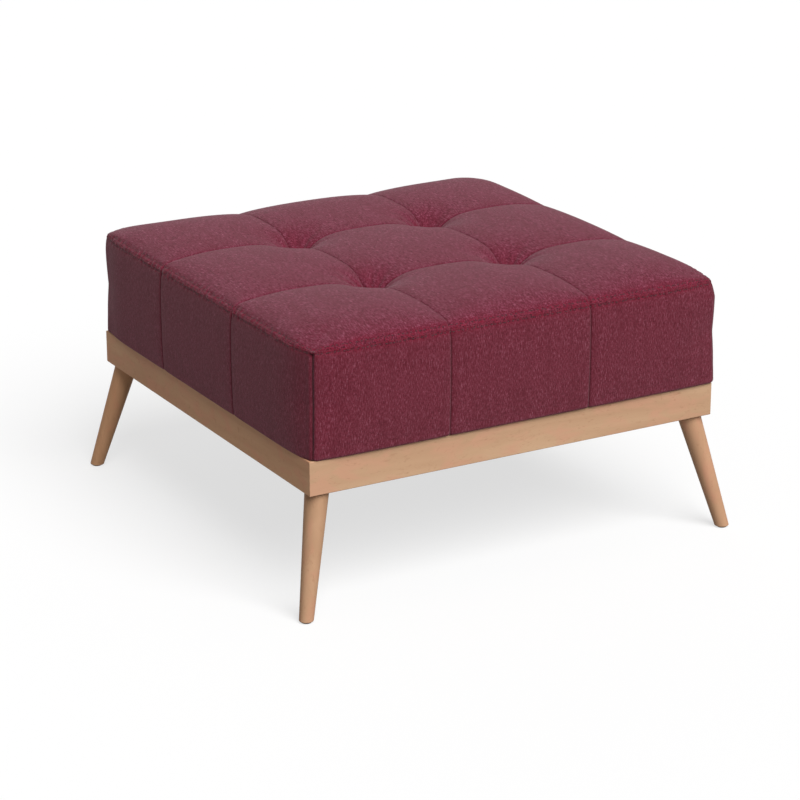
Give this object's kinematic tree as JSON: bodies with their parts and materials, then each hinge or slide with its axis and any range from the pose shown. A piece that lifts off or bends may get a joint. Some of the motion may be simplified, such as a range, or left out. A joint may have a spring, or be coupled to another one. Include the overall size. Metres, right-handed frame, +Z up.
{
  "type": "tufted ottoman",
  "caption": "Square upholstered ottoman: tufted woven cushion over a seat box, on a mitred wooden frame with splayed, tapered round legs.",
  "frame": {"origin": "on the floor, under the middle of the seat", "axes": "+Z up; the front is the side that faces -Y, and the seat is alike on all four sides"},
  "size_m": [0.7564, 0.7564, 0.4251],
  "materials": {
    "upholstery_fabric": "matte woven burgundy melange",
    "beech_rail": "satin clear lacquer",
    "beech_leg": "satin clear lacquer",
    "block_beech": "raw sawn",
    "batten_pine": "raw planed",
    "board_pine": "raw planed",
    "deck_plywood": "raw plywood",
    "foam": "open-cell foam",
    "zinc_screw": "zinc plated",
    "zinc_bolt": "zinc plated",
    "insert_brass": "plain",
    "staple_wire": "galvanised",
    "glide_plastic": "moulded",
    "tuft_twine": "waxed twine",
    "washer_plastic": "moulded",
    "biscuit_beech": "pressed beech",
    "dust_cloth": "spun nonwoven"
  },
  "bodies": {
    "root": {"back_batten": "batten_pine", "back_box_board": "board_pine", "back_left_corner_block": "block_beech", "back_left_glide": "glide_plastic", "back_left_leg": "beech_leg", "back_left_tuft_twine": "tuft_twine", "back_rail": "beech_rail", "back_right_corner_block": "block_beech", "back_right_glide": "glide_plastic", "back_right_leg": "beech_leg", "back_right_tuft_twine": "tuft_twine", "back_side_cover": "upholstery_fabric", "back_side_foam": "foam", "batten_screws": "zinc_screw", "box_corner_screws": "zinc_screw", "corner_block_screws": "zinc_screw", "deck": "deck_plywood", "deck_screws": "zinc_screw", "dust_cover": "dust_cloth", "dust_staples": "staple_wire", "foam_block": "foam", "front_batten": "batten_pine", "front_box_board": "board_pine", "front_left_corner_block": "block_beech", "front_left_glide": "glide_plastic", "front_left_leg": "beech_leg", "front_left_tuft_twine": "tuft_twine", "front_rail": "beech_rail", "front_right_corner_block": "block_beech", "front_right_glide": "glide_plastic", "front_right_leg": "beech_leg", "front_right_tuft_twine": "tuft_twine", "front_side_cover": "upholstery_fabric", "front_side_foam": "foam", "hanger_bolts": "zinc_bolt", "hem_staples": "staple_wire", "left_batten": "batten_pine", "left_box_board": "board_pine", "left_rail": "beech_rail", "left_side_cover": "upholstery_fabric", "left_side_foam": "foam", "mitre_biscuits": "biscuit_beech", "right_batten": "batten_pine", "right_box_board": "board_pine", "right_rail": "beech_rail", "right_side_cover": "upholstery_fabric", "right_side_foam": "foam", "seat_box_screws": "zinc_screw", "threaded_inserts": "insert_brass", "top_cover": "upholstery_fabric", "tuft_washers": "washer_plastic"}
  },
  "joints": []
}
